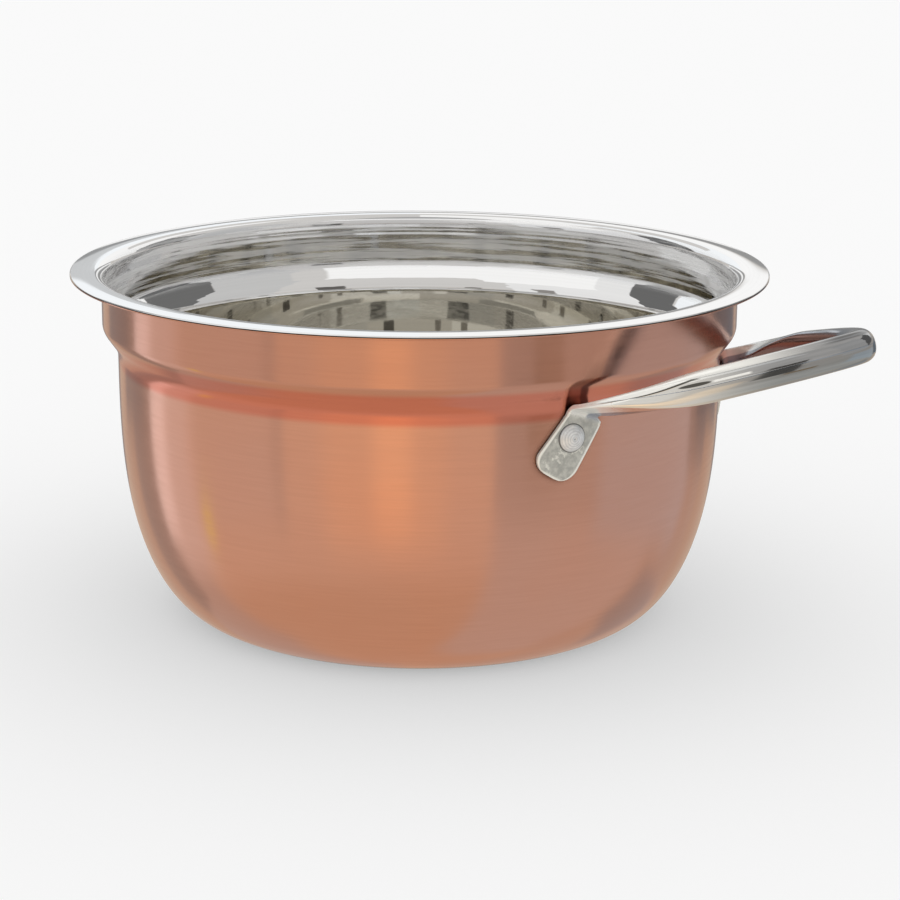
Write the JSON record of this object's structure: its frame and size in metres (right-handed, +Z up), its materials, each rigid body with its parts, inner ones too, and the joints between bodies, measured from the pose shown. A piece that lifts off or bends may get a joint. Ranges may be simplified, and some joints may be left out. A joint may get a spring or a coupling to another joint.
{
  "type": "soup kettle",
  "caption": "Round copper-clad steel soup kettle with a stepped neck, a flat flanged rim and a riveted loop handle.",
  "frame": {"origin": "middle of the flat base, on the surface that the kettle stands on", "axes": "+Z up along the axis of the bowl; +X points along the loop handle, from the middle of the bowl out through the handle's tip; +Y completes the right-handed frame"},
  "size_m": [0.2505, 0.211, 0.105],
  "materials": {
    "polished_steel": "mirror-polished stainless steel, with faint turning lines round the inside",
    "copper": "satin copper with fine level brush lines",
    "handle_steel": "polished stainless steel, duller on the tabs",
    "rivet_steel": "satin stainless steel"
  },
  "bodies": {
    "root": {"bowl": "polished_steel", "copper_shell": "copper", "handle": "handle_steel", "front_rivet": "rivet_steel", "rear_rivet": "rivet_steel"}
  },
  "joints": []
}
